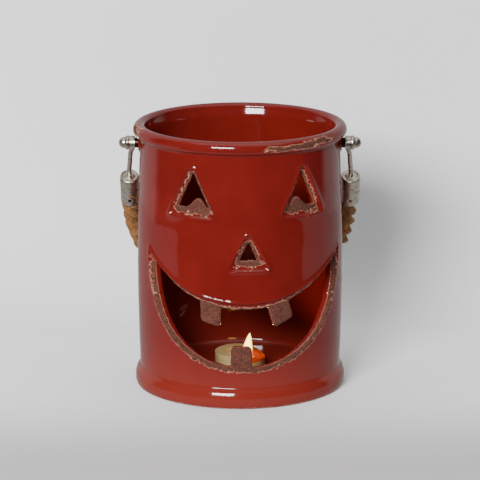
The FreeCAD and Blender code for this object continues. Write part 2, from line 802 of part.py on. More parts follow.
def make_door():
    """Round battery door that locks with three lugs above the cup's floor, and a coin slot."""
    body = new_body("battery_door")
    x = -size("door_offset")
    disc = new_sketch(body, "door_disc_outline", "XY_Plane")
    draw_circle(disc, x, 0.0, size("door_radius"), "door_radius")
    thickness = f"{cell('cup_floor')} - {cell('door_recess')} + {cell('door_rise')}"
    pad(body, "door_disc", disc, thickness)
    top = size("cup_floor") - size("door_recess") + size("door_rise")
    lug_plane = Placement(Vector(0, 0, top), Rotation())
    lugs = new_sketch(body, "door_lug_outline", "XY_Plane", lug_plane)
    inner, outer = size("door_radius") - size("lug_root"), size("door_radius") + size("lug_reach")
    half = math.radians(size("lug_half_angle"))
    for third in range(3):
        mid = math.radians(60 + 120 * third)
        ring = [(outer, mid - half), (outer, mid), (outer, mid + half),
                (inner, mid + half), (inner, mid - half)]
        points = [Vector(x + r * math.cos(a), r * math.sin(a), 0) for r, a in ring]
        for a, b in zip(points, points[1:] + points[:1]):
            lugs.addGeometry(Part.LineSegment(a, b))
    pad(body, "door_lugs", lugs, cell("lug_thickness"))
    groove = new_sketch(body, "coin_slot_outline", "XY_Plane")
    long, wide = size("coin_slot_length") / 2, size("coin_slot_width") / 2
    draw_outline(groove, [(x - long, -wide), (x + long, -wide), (x + long, wide), (x - long, wide)])
    pocket(body, "coin_slot", groove, cell("coin_slot_depth"), True)
    body.Placement = Placement(Vector(0, 0, tealight_base() + size("door_recess")), Rotation())
    return body


def make_switch():
    """Slider of the on-off switch: a thumb block in the slot under a wider shoe."""
    width, length = size("switch_width"), size("switch_length")
    thumb = doc.addObject("Part::Box", "switch_thumb")
    bind(thumb, Length=cell("switch_width"), Width=cell("switch_length"),
         Height=f"{cell('cup_floor')} - {cell('switch_sunk')} + {cell('switch_gap')}")
    thumb.Placement = Placement(Vector(size("switch_offset") - width / 2, -length / 2,
                                       tealight_base() + size("switch_sunk")), Rotation())
    shoe = doc.addObject("Part::Box", "switch_shoe")
    bind(shoe, Length=f"{cell('switch_width')} + 2 * {cell('shoe_margin')}",
         Width=f"{cell('switch_length')} + 2 * {cell('shoe_margin')}",
         Height=cell("shoe_thickness"))
    margin = size("shoe_margin")
    height = tealight_base() + size("cup_floor") + size("switch_gap")
    shoe.Placement = Placement(Vector(size("switch_offset") - width / 2 - margin,
                                      -length / 2 - margin, height), Rotation())
    return fuse("switch_slider", thumb, shoe)


# ---------------------------------------------------------------- assembly

parts = [make_pot()]
washer_face, spacer_face = stack_positions()[:2]
for side, sign in (("left", -1), ("right", 1)):
    parts.append(make_stud(side, sign))
    parts.append(make_ring(f"{side}_inner_washer", "inner_washer_radius",
                           f"{cell('stud_radius')} + {cell('ring_clearance')}", "inner_washer_thickness",
                           washer_face, sign))
    parts.append(make_ring(f"{side}_spacer", "spacer_radius",
                           f"{cell('stud_radius')} + {cell('ring_clearance')}",
                           "spacer_thickness", spacer_face, sign))
    parts.append(make_knob(side, sign))
    parts.append(make_hanger(side, sign))
    parts.append(make_ferrule(side, sign))
    parts.append(make_rivet(side, sign))
parts.append(make_rope())
parts += [make_cup(), make_wax(), make_flame(), make_board(), make_led(), make_coin_cell(),
          make_contact(), make_door(), make_switch()]

doc.recompute()

failed = [o.Label for o in doc.Objects if "Invalid" in o.State or "Error" in o.State]
if failed:
    raise SystemExit(f"these objects did not build: {failed}")
for part in parts:
    if part.Shape.isNull() or not part.Shape.isValid():
        raise SystemExit(f"{part.Label} has no valid shape")
    if len(part.Shape.Solids) != 1:
        raise SystemExit(f"{part.Label} has {len(part.Shape.Solids)} solids")

os.makedirs("parts", exist_ok=True)
for part in parts:
    part.Shape.exportStep(f"parts/{part.Label}.step")
print(len(parts), "parts written")
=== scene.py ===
import functools
import math
import random

import bpy
import numpy as np
from mathutils import Matrix, Vector, geometry, noise


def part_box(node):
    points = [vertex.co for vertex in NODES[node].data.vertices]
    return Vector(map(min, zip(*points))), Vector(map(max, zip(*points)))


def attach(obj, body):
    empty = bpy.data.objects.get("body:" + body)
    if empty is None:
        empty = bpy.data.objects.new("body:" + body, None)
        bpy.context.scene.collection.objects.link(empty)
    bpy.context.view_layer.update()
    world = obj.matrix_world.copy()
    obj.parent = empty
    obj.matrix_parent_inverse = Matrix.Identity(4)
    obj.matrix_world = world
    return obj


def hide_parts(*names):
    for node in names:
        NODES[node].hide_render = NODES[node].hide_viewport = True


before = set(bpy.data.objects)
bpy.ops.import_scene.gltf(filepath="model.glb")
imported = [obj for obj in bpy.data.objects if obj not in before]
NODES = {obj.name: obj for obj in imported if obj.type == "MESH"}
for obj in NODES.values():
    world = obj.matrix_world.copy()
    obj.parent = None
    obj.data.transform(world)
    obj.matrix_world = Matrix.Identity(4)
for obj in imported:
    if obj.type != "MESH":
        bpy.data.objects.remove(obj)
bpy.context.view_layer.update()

# A glazed ceramic jack-o'-lantern with a rope handle and a battery tea light.
# Shapes are worked out in millimetres and scaled to metres when a mesh is made.
MM = 0.001

STUD_HEIGHT = 184.0
HANDLE_LEAN = math.radians(34.2)
HANDLE_REACH = 83.7
# the face was carved a little off the line square to the studs
FACE_TURN = math.radians(4.85)


# ---- camera

def make_camera():
    """Long lens at the photograph's angle, a little above the pot."""
    distance, height, aim_height = 2.07, 0.62, 0.109
    data = bpy.data.cameras.new("camera")
    data.sensor_width = 36.0
    data.lens = 212.25
    camera = new_object("camera", data)
    camera.location = (0.0, -distance, height)
    aim = Vector((0, 0, aim_height)) - camera.location
    camera.rotation_euler = aim.to_track_quat("-Z", "Y").to_euler()
    bpy.context.scene.camera = camera


# ---- meshes

def new_object(name, data):
    piece = bpy.data.objects.new(name, data)
    bpy.context.scene.collection.objects.link(piece)
    return piece


def mesh_object(name, vertices, faces):
    """Mesh piece from points in millimetres."""
    mesh = bpy.data.meshes.new(name)
    mesh.from_pydata([tuple(c * MM for c in v) for v in vertices], [], faces)
    mesh.validate()
    mesh.shade_smooth()
    return new_object(name, mesh)


def dress(piece, material, body, slot, *replaced):
    """Give a piece its finish, the body it moves with and the CAD nodes it stands for."""
    piece.data.materials.append(material)
    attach(piece, body)
    if replaced:
        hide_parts(*replaced)
    return piece


def rounded(points, radii, step=0.25, closed=False):
    """Polyline through corners, each corner turned into an arc of its radius (0 keeps it)."""
    count = len(points)
    path = []
    for i, corner in enumerate(points):
        corner = Vector(corner)
        radius = radii[i] if hasattr(radii, "__len__") else radii
        ends = not closed and i in (0, count - 1)
        if ends or radius <= 0:
            path.append(corner)
            continue
        back = (Vector(points[i - 1]) - corner)
        ahead = (Vector(points[(i + 1) % count]) - corner)
        half = back.angle(ahead) / 2
        trim = min(radius / math.tan(half), 0.49 * back.length, 0.49 * ahead.length)
        radius = trim * math.tan(half)
        back.normalize()
        ahead.normalize()
        centre = corner + (back + ahead).normalized() * (radius / math.sin(half))
        start, end = corner + back * trim - centre, corner + ahead * trim - centre
        turn = start.angle_signed(end)
        steps = max(2, round(abs(turn) * radius / step), round(abs(turn) / 0.3))
        for k in range(steps + 1):
            angle = -turn * k / steps
            spoke = Vector((start.x * math.cos(angle) - start.y * math.sin(angle),
                            start.x * math.sin(angle) + start.y * math.cos(angle)))
            path.append(centre + spoke)
    return path


def lathe(profile, segments=64, wobble=None):
    """Vertices and faces of an outline (radius, height) turned about Z; a radius of 0 is a pole."""
    vertices, faces, rings = [], [], []
    for radius, height in profile:
        if radius < 1e-6:
            rings.append([len(vertices)])
            vertices.append((0.0, 0.0, height))
            continue
        ring = []
        for k in range(segments):
            angle = 2 * math.pi * k / segments
            r = radius + (wobble(angle, height, radius) if wobble else 0.0)
            ring.append(len(vertices))
            vertices.append((r * math.cos(angle), r * math.sin(angle), height))
        rings.append(ring)
    for low, high in zip(rings, rings[1:]):
        for k in range(segments):
            n = (k + 1) % segments
            if len(low) == 1 and len(high) == 1:
                continue
            if len(low) == 1:
                faces.append((low[0], high[n], high[k]))
            elif len(high) == 1:
                faces.append((low[k], low[n], high[0]))
            else:
                faces.append((low[k], low[n], high[n], high[k]))
    return vertices, faces


def tube_faces(first, rings, around):
    """Quads between rings of vertices numbered from first, and a flat face at each end."""
    faces = []
    for i in range(rings - 1):
        for k in range(around):
            a, b = first + i * around + k, first + i * around + (k + 1) % around
            faces.append((a, b, b + around, a + around))
    last = first + (rings - 1) * around
    faces.append(tuple(first + k for k in reversed(range(around))))
    faces.append(tuple(last + k for k in range(around)))
    return faces


def placed(vertices, matrix):
    return [tuple(matrix @ Vector(v)) for v in vertices]


def handle_matrix(across=0.0):
    """From the handle's own plane, z up from the stud axis, to the row frame, in millimetres."""
    lean = Matrix.Rotation(HANDLE_LEAN, 4, "X")
    return Matrix.Translation((0, 0, STUD_HEIGHT)) @ lean @ Matrix.Translation((across, 0, 0))


def along_x(sign):
    """Turns a lathed piece so that its height runs outwards along the stud on that side."""
    turn = Matrix.Rotation(sign * math.pi / 2, 4, "Y")
    return Matrix.Translation((0, 0, STUD_HEIGHT)) @ turn


# ---- node materials

class Nodes:
    """Short ways to add nodes to a node tree; an input may be a value or another node's output."""

    def __init__(self, tree):
        self.tree = tree

    def node(self, kind, output=0, inputs=None, **settings):
        node = self.tree.nodes.new(kind)
        for key, value in settings.items():
            setattr(node, key, value)
        for key, value in (inputs or {}).items():
            self.feed(node.inputs[key], value)
        return node.outputs[output]

    def feed(self, socket, value):
        if isinstance(value, bpy.types.NodeSocket):
            self.tree.links.new(value, socket)
        else:
            socket.default_value = value

    def part_of(self, vector, axis):
        """One coordinate of a vector: 0 across, 1 along, 2 up."""
        return self.node("ShaderNodeSeparateXYZ", output=axis, inputs={0: vector})

    def math(self, operation, a, b=0.0):
        return self.node("ShaderNodeMath", operation=operation, inputs={0: a, 1: b})

    def add(self, a, b):
        return self.math("ADD", a, b)

    def times(self, a, b):
        return self.math("MULTIPLY", a, b)

    def span(self, value, low, high, to_low=0.0, to_high=1.0):
        """Smooth step of a value from low..high to to_low..to_high."""
        return self.node("ShaderNodeMapRange", interpolation_type="SMOOTHSTEP", inputs={
            "Value": value, "From Min": low, "From Max": high,
            "To Min": to_low, "To Max": to_high})

    def blend_value(self, factor, a, b):
        return self.node("ShaderNodeMix", data_type="FLOAT", inputs={0: factor, 2: a, 3: b})


class Finish(Nodes):
    """A node material around one Principled shader; coordinates are metres in the row frame."""

    def __init__(self, name, **sockets):
        self.material = bpy.data.materials.new(name)
        self.material.use_nodes = True
        super().__init__(self.material.node_tree)
        self.shader = self.tree.nodes["Principled BSDF"]
        for socket, value in sockets.items():
            self.shader.inputs[socket.replace("_", " ")].default_value = value
        self.place = self.tree.nodes.new("ShaderNodeTexCoord").outputs["Object"]

    def stretched(self, x=1.0, y=1.0, z=1.0):
        return self.node("ShaderNodeMapping", inputs={"Vector": self.place, "Scale": (x, y, z)})

    def noise(self, size_mm, detail=3.0, roughness=0.55, where=None):
        """Noise from 0 to 1 whose features are about size_mm across."""
        return self.node("ShaderNodeTexNoise", inputs={
            "Vector": where or self.place, "Scale": 1000.0 / size_mm, "Detail": detail,
            "Roughness": roughness})

    def cells(self, size_mm):
        """Distance to the middle of scattered cells about size_mm across."""
        return self.node("ShaderNodeTexVoronoi", inputs={
            "Vector": self.place, "Scale": 1000.0 / size_mm})

    def mix(self, factor, a, b):
        """Colour mix; a and b are colours or sockets."""
        return self.node("ShaderNodeMix", output=2, data_type="RGBA",
                         inputs={0: factor, 6: a, 7: b})

    def attribute(self, name):
        return self.node("ShaderNodeAttribute", output=2, attribute_name=name)

    def bump(self, height, depth_mm, strength=1.0, under=None):
        inputs = {"Height": height, "Distance": depth_mm * MM, "Strength": strength}
        if under is not None:
            inputs["Normal"] = under
        return self.node("ShaderNodeBump", inputs=inputs)

    def set(self, **sockets):
        for socket, value in sockets.items():
            self.feed(self.shader.inputs[socket.replace("_", " ")], value)
        return self.material


def rgb(red, green, blue):
    """Linear colour from 0-255 screen values."""
    return tuple(c / 3294.6 if c <= 10.31 else ((c / 255 + 0.055) / 1.055) ** 2.4
                 for c in (red, green, blue)) + (1.0,)


# ---- rope

# the rope's route in the handle's plane, right half, as in part.py: across, and down
ROPE_ROUTE = [(83.7, 42.0), (83.5, 82.0), (72.0, 124.0), (36.0, 150.0)]
ROPE_RADIUS = 6.1
ROPE_STRANDS = 3
ROPE_PITCH = 33.0
STRAND_RADIUS, STRAND_REACH = 3.9, 3.05
YARNS, YARN_PITCH = 6, 11.0
FIBRES, BARE_ENDS = 1500, 0.026


def rope_centreline():
    """Points read from the route's NURBS spline, in metres, about 0.5 mm apart."""
    right = [Vector((x, 0, -down)) for x, down in ROPE_ROUTE]
    left = [Vector((-p.x, 0, p.z)) for p in reversed(right)]
    data = bpy.data.curves.new("rope_route", "CURVE")
    data.dimensions = "3D"
    spline = data.splines.new("NURBS")
    spline.points.add(len(right + left) - 1)
    for point, place in zip(spline.points, right + left):
        point.co = (*(handle_matrix() @ place * MM), 1.0)
    spline.order_u = 3
    spline.use_endpoint_u = True
    spline.resolution_u = 90
    route = new_object("rope_route", data)
    mesh = bpy.data.meshes.new_from_object(route)
    points = [v.co.copy() for v in mesh.vertices]
    bpy.data.meshes.remove(mesh)
    bpy.data.objects.remove(route)
    return points


def rope_frames(points):
    """Place, along, side and normal at each point of the planar route, and length so far."""
    normal = handle_matrix().to_3x3() @ Vector((0, 1, 0))
    frames, run = [], 0.0
    for i, point in enumerate(points):
        along = (points[min(i + 1, len(points) - 1)] - points[max(i - 1, 0)]).normalized()
        if i:
            run += (point - points[i - 1]).length
        frames.append((point, along, along.cross(normal).normalized(), normal, run))
    return frames


def make_rope():
    points = rope_centreline()
    frames = rope_frames(points)
    vertices, faces = [], []
    around = 26
    rng = random.Random(4)
    offsets = [rng.uniform(0, 9) for _ in range(ROPE_STRANDS)]
    for strand in range(ROPE_STRANDS):
        first = len(vertices)
        for place, along, side, normal, run in frames:
            phase = 2 * math.pi * (run / (ROPE_PITCH * MM) + strand / ROPE_STRANDS)
            out = side * math.cos(phase) + normal * math.sin(phase)
            swell = 1 + 0.10 * noise.noise(Vector((run * 140, strand * 7.1, offsets[strand])))
            centre = place + out * (STRAND_REACH * MM)
            across = along.cross(out).normalized()
            for k in range(around):
                angle = 2 * math.pi * k / around
                # the strand is pressed flat where it meets its neighbours
                lobe = 1.0 + 0.06 * math.cos(2 * angle)
                # yarns run round the strand against the rope's own lay
                yarn = math.cos(YARNS * angle - 2 * math.pi * run / (YARN_PITCH * MM))
                tuft = noise.fractal(Vector((run * 420, 1.5 * math.cos(angle) + 5 * strand,
                                             1.5 * math.sin(angle))), 0.7, 2.3, 3)
                r = STRAND_RADIUS * MM * swell * lobe * (0.95 + 0.03 * yarn + 0.14 * tuft)
                vertices.append(centre + out * (r * math.cos(angle))
                                + across * (r * math.sin(angle)))
        faces += tube_faces(first, len(frames), around)
    rope = mesh_object("rope_strands", [v / MM for v in vertices], faces)
    dress(rope, jute(), "handle", "jute_rope", "rope")
    fibres = make_fibres(frames)


def make_fibres(frames):
    """Loose hairs of jute that stand out of the twist."""
    rng = random.Random(11)
    vertices, faces = [], []
    shown = [f for f in frames if BARE_ENDS < f[4] < frames[-1][4] - BARE_ENDS]
    for _ in range(FIBRES):
        place, along, side, normal, _ = rng.choice(shown)
        angle = rng.uniform(0, 2 * math.pi)
        out = side * math.cos(angle) + normal * math.sin(angle)
        across = along.cross(out)
        drift = along * rng.uniform(-1.0, 1.0) + across * rng.uniform(-1.3, 1.3)
        reach = rng.uniform(1.2, 5.2) * MM
        lift = rng.uniform(0.12, 0.42)
        start = place + out * (ROPE_RADIUS - 0.9) * MM
        thick = rng.uniform(0.035, 0.075) * MM
        curl = rng.uniform(-0.8, 0.8)
        steps, first = 4, len(vertices)
        for i in range(steps + 1):
            t = i / steps
            centre = start + drift * (reach * t) + out * (reach * lift * math.sin(2.2 * t))
            centre += across * (curl * reach * t * t)
            width = thick * (1.0 - 0.75 * t)
            for k in range(3):
                turn = 2 * math.pi * k / 3
                vertices.append(centre + out * (width * math.cos(turn))
                                + along * (width * math.sin(turn)))
        faces += tube_faces(first, steps + 1, 3)
    fibres = mesh_object("rope_fibres", [v / MM for v in vertices], faces)
    return dress(fibres, jute_hair(), "handle", "jute_rope")


def jute():
    f = Finish("jute", Roughness=0.86, Specular_IOR_Level=0.2, Sheen_Weight=0.06,
               Sheen_Roughness=0.5)
    broad = f.noise(7.0, detail=2.0)
    hair = f.noise(0.9, detail=5.0, roughness=0.7)
    streak = f.noise(0.5, detail=3.0, where=f.stretched(0.25, 1.0, 1.0))
    tone = f.mix(f.span(broad, 0.35, 0.68), rgb(128, 84, 45), rgb(166, 115, 66))
    # the dark tone is partly darker fibres and partly painted shade, as it falls in the low parts
    # of the hair bump
    tone = f.mix(f.span(hair, 0.32, 0.62, 0.85, 0.0), tone, rgb(66, 38, 18))
    tone = f.mix(f.span(streak, 0.58, 0.75, 0.0, 0.55), tone, rgb(190, 142, 90))
    height = f.add(f.times(hair, 0.7), f.times(streak, 0.5))
    return f.set(Base_Color=tone, Normal=f.bump(height, 0.45))


def jute_hair():
    f = Finish("jute_hair", Roughness=0.8, Specular_IOR_Level=0.25)
    tone = f.mix(f.noise(3.0), rgb(128, 86, 48), rgb(196, 150, 100))
    return f.set(Base_Color=tone)


# ---- pot

WALL_LOW, WALL_TOP = (75.6, 16.0), (75.2, 172.0)
WALL_BARREL_RADIUS = 1900.0
BORE_RADIUS = 69.0
FLOOR_HEIGHT = 10.0
UNROLL = 77.0
BEVEL_DEPTH = 2.2
RIDGE_HEIGHT, RIDGE_WIDTH = 0.75, 1.6
COLUMNS = 240
FACE_HALF_COLUMNS = 50
FACE_LOW, FACE_HIGH, FACE_ROWS = 18.0, 187.0, 65

EYE_ANGLE = 33.0
EYE_BASE, EYE_APEX, EYE_HALF_WIDTH = 148.6, 175.6, 14.4
NOSE_BASE, NOSE_APEX, NOSE_HALF_WIDTH = 111.0, 126.0, 7.4
MOUTH_REACH, MOUTH_CORNER = 63.0, 107.0
MOUTH_UPPER_DIP, MOUTH_LOWER_DIP = 32.3, 77.0
MOUTH_FULLNESS = {-1: 2.2, 1: 1.86}
# each tooth: angle in degrees, half-width, length, sideways lean
LOWER_TOOTH = (-4.0, 8.2, 15.5, 0.0)
UPPER_TEETH = [(-22.0, 8.2, 15.2, 0.2), (17.5, 8.4, 16.0, 4.8)]
PUPIL_OFFSET, PUPIL_HEIGHT = 4.2, 7.4
# the crease that the blade left round each opening: margins, or half-width, base and apex
MOUTH_CREASE = {"wider": 3.2, "over": 6.2, "under": 0.6}
EYE_CREASE = (21.2, 141.9, 183.6)
NOSE_CREASE = (16.8, 103.6, 134.6)
# where on the rim the glaze is chipped: angle, half-width in degrees, height, half-height
RIM_CHIPS = [(25.0, 15.0, 194.8, 2.2), (41.0, 11.0, 196.4, 2.3), (-84.0, 9.0, 196.5, 3.0)]
# the rolled bead of the rim, and the recessed underside
BEAD_MIDDLE, BEAD_HEIGHT, BEAD_RADIUS = 74.8, 195.0, 5.0
UNDERSIDE_RADIUS, UNDERSIDE_HEIGHT = 40.0, 2.5
FLOOR_RADIUS = 58.0
# value of the clay field where there is glaze only; clay shows where the field is above 0
GLAZED = -9.0


def unrolled(degrees):
    return math.radians(degrees) * UNROLL


def barrel(z):
    """Outer radius of the plain wall at a height."""
    (low_r, low_z), (top_r, top_z) = WALL_LOW, WALL_TOP
    middle, half = (low_z + top_z) / 2, (top_z - low_z) / 2
    straight = low_r + (top_r - low_r) * (z - low_z) / (top_z - low_z)
    return straight + (half ** 2 - (z - middle) ** 2) / (2 * WALL_BARREL_RADIUS)


def throwing(angle, z, size=1.0):
    """Slight unevenness left by hands and glaze, in millimetres; repeats round the pot."""
    waves = ((5, 0.11, 0.4, 0.040), (9, -0.07, 2.1, 0.030), (3, 0.26, 1.3, 0.030),
             (14, 0.19, 5.0, 0.018), (2, -0.41, 0.2, 0.022), (21, -0.33, 3.3, 0.008))
    return size * sum(depth * np.sin(turns * angle + rise * z + start)
                      for turns, rise, start, depth in waves)


def segments_distance(points, line):
    """Distance of each point from a closed line, in numpy."""
    line = np.asarray(line, float)
    start, end = line, np.roll(line, -1, axis=0)
    run = end - start
    length = np.maximum((run ** 2).sum(1), 1e-12)
    best = np.full(len(points), 1e9)
    for s, d, l in zip(start, run, length):
        off = points - s
        t = np.clip((off @ d) / l, 0, 1)
        near = off - t[:, None] * d
        best = np.minimum(best, (near ** 2).sum(1))
    return np.sqrt(best)


def inside(points, line):
    line = np.asarray(line, float)
    x, y = points[:, 0], points[:, 1]
    result = np.zeros(len(points), bool)
    for (x0, y0), (x1, y1) in zip(line, np.roll(line, -1, axis=0)):
        if y0 == y1:
            continue
        crosses = (y0 > y) != (y1 > y)
        result ^= crosses & (x < (x1 - x0) * (y - y0) / (y1 - y0) + x0)
    return result


def resample(line, step, closed=True):
    """Evenly spaced points along a line."""
    line = np.asarray([tuple(p) for p in line], float)
    if closed:
        line = np.vstack([line, line[:1]])
    run = np.concatenate([[0], np.cumsum(np.hypot(*np.diff(line, axis=0).T))])
    count = max(8, round(run[-1] / step))
    where = np.linspace(0, run[-1], count + 1)[: count if closed else count + 1]
    return np.column_stack([np.interp(where, run, line[:, k]) for k in (0, 1)])


def normals(line):
    """Unit vector square to a closed line at each of its points."""
    ahead = np.roll(line, -1, axis=0) - np.roll(line, 1, axis=0)
    normal = np.column_stack([ahead[:, 1], -ahead[:, 0]])
    return normal / np.maximum(np.hypot(*normal.T), 1e-9)[:, None]


def fractals(across, up, seed, *kind):
    """Fractal noise at many places; kind is its roughness, lacunarity and octaves."""
    return np.array([noise.fractal(Vector((x, z, seed)), *kind)
                     for x, z in np.broadcast(across, up)])


def ragged(line, amount, size, seed):
    """The line with each point pushed in or out a little, as hand-cut clay is."""
    push = amount * fractals(line[:, 0] / size, line[:, 1] / size, seed, 0.7, 2.1, 3)
    return line + normals(line) * push[:, None]


def mouth_line(degrees, wider=0.0, over=0.0, under=0.0):
    """Lower and upper edge of the smile at an angle; the margins give the crease round it."""
    fullness = MOUTH_FULLNESS[-1 if degrees < 0 else 1]
    share = min(abs(degrees) / (MOUTH_REACH + wider), 1.0)
    fall = 1.0 - share ** fullness
    corner = MOUTH_CORNER + over
    lower = corner - (MOUTH_LOWER_DIP + over + under) * math.sqrt(fall)
    return lower, corner - (MOUTH_UPPER_DIP + over - over * 0.85) * fall


def mouth_outline(teeth=True, wider=0.0, over=0.0, under=0.0):
    """Closed outline of the smile, anticlockwise, with or without its three teeth."""
    reach = MOUTH_REACH + wider
    steps = 44
    lower, upper = [], []
    for i in range(steps + 1):
        # points crowd towards the corners, where the line turns most
        share = math.sin(math.pi / 2 * (2 * i / steps - 1))
        low, high = mouth_line(reach * share, wider, over, under)
        lower.append(Vector((unrolled(reach * share), low)))
        upper.append(Vector((unrolled(reach * share), high)))
    upper = upper[1:-1]
    if teeth:
        lower = with_tooth(lower, *LOWER_TOOTH, up=True)
        for tooth in UPPER_TEETH:
            upper = with_tooth(upper, *tooth)
    return lower + upper[::-1]


def with_tooth(edge, degrees, half, length, lean, up=False):
    """A square tooth with soft corners set into an edge of the smile."""
    middle = unrolled(degrees)
    heights = np.interp([middle - half, middle + half], [p.x for p in edge], [p.y for p in edge])
    before = [p for p in edge if p.x < middle - half - 1.5]
    after = [p for p in edge if p.x > middle + half + 1.5]
    direction = 1 if up else -1
    tip = 0.95 * half
    corners = [before[-1], Vector((middle - half, heights[0])),
               Vector((middle - tip + lean, heights[0] + direction * length)),
               Vector((middle + tip + lean, heights[1] + direction * (length - 0.6 * lean))),
               Vector((middle + half, heights[1])), after[0]]
    return before[:-1] + rounded(corners, [0, 1.6, 2.6, 2.8, 1.6, 0], step=0.5) + after[1:]


def triangle_outline(middle, half, base, apex, radii):
    corners = [(middle - half, base), (middle + half, base), (middle, apex)]
    return rounded(corners, radii, closed=True)


def eye_outline(side):
    """Eye with a clay mound for its pupil, nearer the nose."""
    middle = unrolled(side * EYE_ANGLE)
    pupil = middle - side * PUPIL_OFFSET
    outline = triangle_outline(middle, EYE_HALF_WIDTH, EYE_BASE, EYE_APEX, [1.6, 1.6, 0.8])
    points = []
    for x, z in resample(outline, 0.6):
        if z < EYE_BASE + 1.0:
            z = z + mound(x - pupil, side)
        points.append((x, z))
    return points


def mound(x, side):
    """Height of the pupil's mound over the eye's base."""
    x = x * side
    hump = PUPIL_HEIGHT * math.exp(-(x / 6.6) ** 2 - (x / 8.6) ** 4)
    return hump + 0.7 * math.exp(-((x - 8.5) / 3.0) ** 2)


class Opening:
    """One cut of the face: the hole, the hole without its teeth, and the crease outside it."""

    def __init__(self, hole, plain, crease, base_height, side_band, base_band, seed):
        self.hole = ragged(resample(hole, 0.9), 0.32, 2.4, seed)
        self.plain = resample(plain, 1.2)
        self.crease = resample(crease, 1.6)
        self.base_height = base_height
        self.side_band, self.base_band = side_band, base_band
        self.seed = seed

    def measure(self, points):
        """Depth of the sunk slope, and how far inside the bare clay band each point is."""
        depth = np.zeros(len(points))
        clay = np.full(len(points), GLAZED)
        low, high = self.crease.min(0) - 4, self.crease.max(0) + 4
        near = ((points > low) & (points < high)).all(1)
        part = points[near]
        if not len(part):
            return depth, clay
        within = inside(part, self.plain)
        to_hole = np.where(within, 0.0, segments_distance(part, self.plain))
        to_crease = segments_distance(part, self.crease)
        share = np.where(inside(part, self.crease),
                         to_crease / np.maximum(to_hole + to_crease, 1e-6), 0.0)
        # the blade pushed up a soft ridge along the crease
        ridge = RIDGE_HEIGHT * np.exp(-(to_crease / RIDGE_WIDTH) ** 2)
        depth[near] = BEVEL_DEPTH * (1 - (1 - share) ** 3.0) - ridge
        base = self.base_height(part[:, 0])
        low_side = np.clip((base + 1.2 - part[:, 1]) / 2.4, 0, 1)
        band = self.side_band + (self.base_band - self.side_band) * low_side
        waver = fractals(part[:, 0] / 3.1, part[:, 1] / 3.1, self.seed + 3, 0.6, 2.2, 4)
        field = band * (1 + 0.85 * waver) - to_hole
        clay[near] = np.where(within, np.maximum(field, 1.5), field)
        return depth, clay


def make_openings():
    mouth_middle = lambda x: np.array([sum(mouth_line(math.degrees(v / UNROLL))) / 2 for v in x])
    openings = [Opening(mouth_outline(), mouth_outline(teeth=False),
                        mouth_outline(teeth=False, **MOUTH_CREASE), mouth_middle, 1.5, 3.0, 1.0)]
    for side in (-1, 1):
        middle = unrolled(side * EYE_ANGLE)
        plain = triangle_outline(middle, EYE_HALF_WIDTH, EYE_BASE, EYE_APEX, [1.6, 1.6, 0.8])
        crease = triangle_outline(middle + side * 0.2, *EYE_CREASE, [2.6, 2.6, 3.0])
        openings.append(Opening(eye_outline(side), plain, crease,
                                lambda x: np.full(len(x), EYE_BASE), 1.5, 4.2, 4.0 + side))
    plain = triangle_outline(0, NOSE_HALF_WIDTH, NOSE_BASE, NOSE_APEX, [1.4, 1.4, 1.2])
    crease = triangle_outline(0, *NOSE_CREASE, [2.4, 2.4, 3.0])
    openings.append(Opening(plain, plain, crease, lambda x: np.full(len(x), NOSE_BASE),
                            2.4, 4.2, 9.0))
    return openings


def skin(points, openings):
    """Outer radius, inner radius and clay field at unrolled points."""
    angle, z = points[:, 0] / UNROLL, points[:, 1]
    depth = np.zeros(len(points))
    clay = np.full(len(points), GLAZED)
    for opening in openings:
        d, c = opening.measure(points)
        depth, clay = depth + d, np.maximum(clay, c)
    outer = barrel(z) + throwing(angle, z) - depth
    inner = BORE_RADIUS + throwing(angle + 2.0, z * 0.8, 1.6)
    return outer, inner, clay


def rim_rounding(distance, radius):
    """How far a skin falls back within a radius of a hole's edge."""
    t = np.clip(1 - distance / radius, 0, 1)
    return radius * 0.55 * (1 - np.sqrt(1 - t ** 2 * 0.98))


def nearest(points, lines):
    """Distance of each point from the nearest of some closed lines."""
    return np.min([segments_distance(points, line) for line in lines], axis=0)


def face_points(openings):
    """Outline loops and a spread of points over the face, denser round the openings."""
    half = unrolled(FACE_HALF_COLUMNS * 360 / COLUMNS)
    across = 2 * FACE_HALF_COLUMNS
    columns = np.linspace(-half, half, across + 1)
    rows = np.linspace(FACE_LOW, FACE_HIGH, FACE_ROWS + 1)
    border = ([(u, FACE_LOW) for u in columns[:-1]] + [(half, z) for z in rows[:-1]]
              + [(u, FACE_HIGH) for u in columns[:0:-1]] + [(-half, z) for z in rows[:0:-1]])
    holes, creases = [o.hole for o in openings], [o.crease for o in openings]
    spread = []
    for spacing, near, far in ((2.9, 3.4, 99.0), (1.5, 1.5, 3.4), (0.75, 0.0, 1.5)):
        points = hex_grid(half, spacing)
        edge, crease = nearest(points, holes), nearest(points, creases)
        # the band of clay is as fine as the crease, at twice the distance
        reach = np.minimum(edge * 0.45, crease)
        spread.append(points[(reach >= near) & (reach < far) & (edge > 0.42)])
    return [np.array(border), *holes], np.vstack(spread)


def hex_grid(half, spacing):
    """Evenly spread points over the face's patch, inside its border."""
    rise = spacing * math.sqrt(3) / 2
    margin = 0.55 * spacing
    rows = np.arange(FACE_LOW + margin, FACE_HIGH - margin, rise)
    points = []
    for i, z in enumerate(rows):
        shift = spacing / 2 * (i % 2)
        columns = np.arange(-half + margin + shift, half - margin, spacing)
        points.append(np.column_stack([columns, np.full(len(columns), z)]))
    return np.vstack(points)


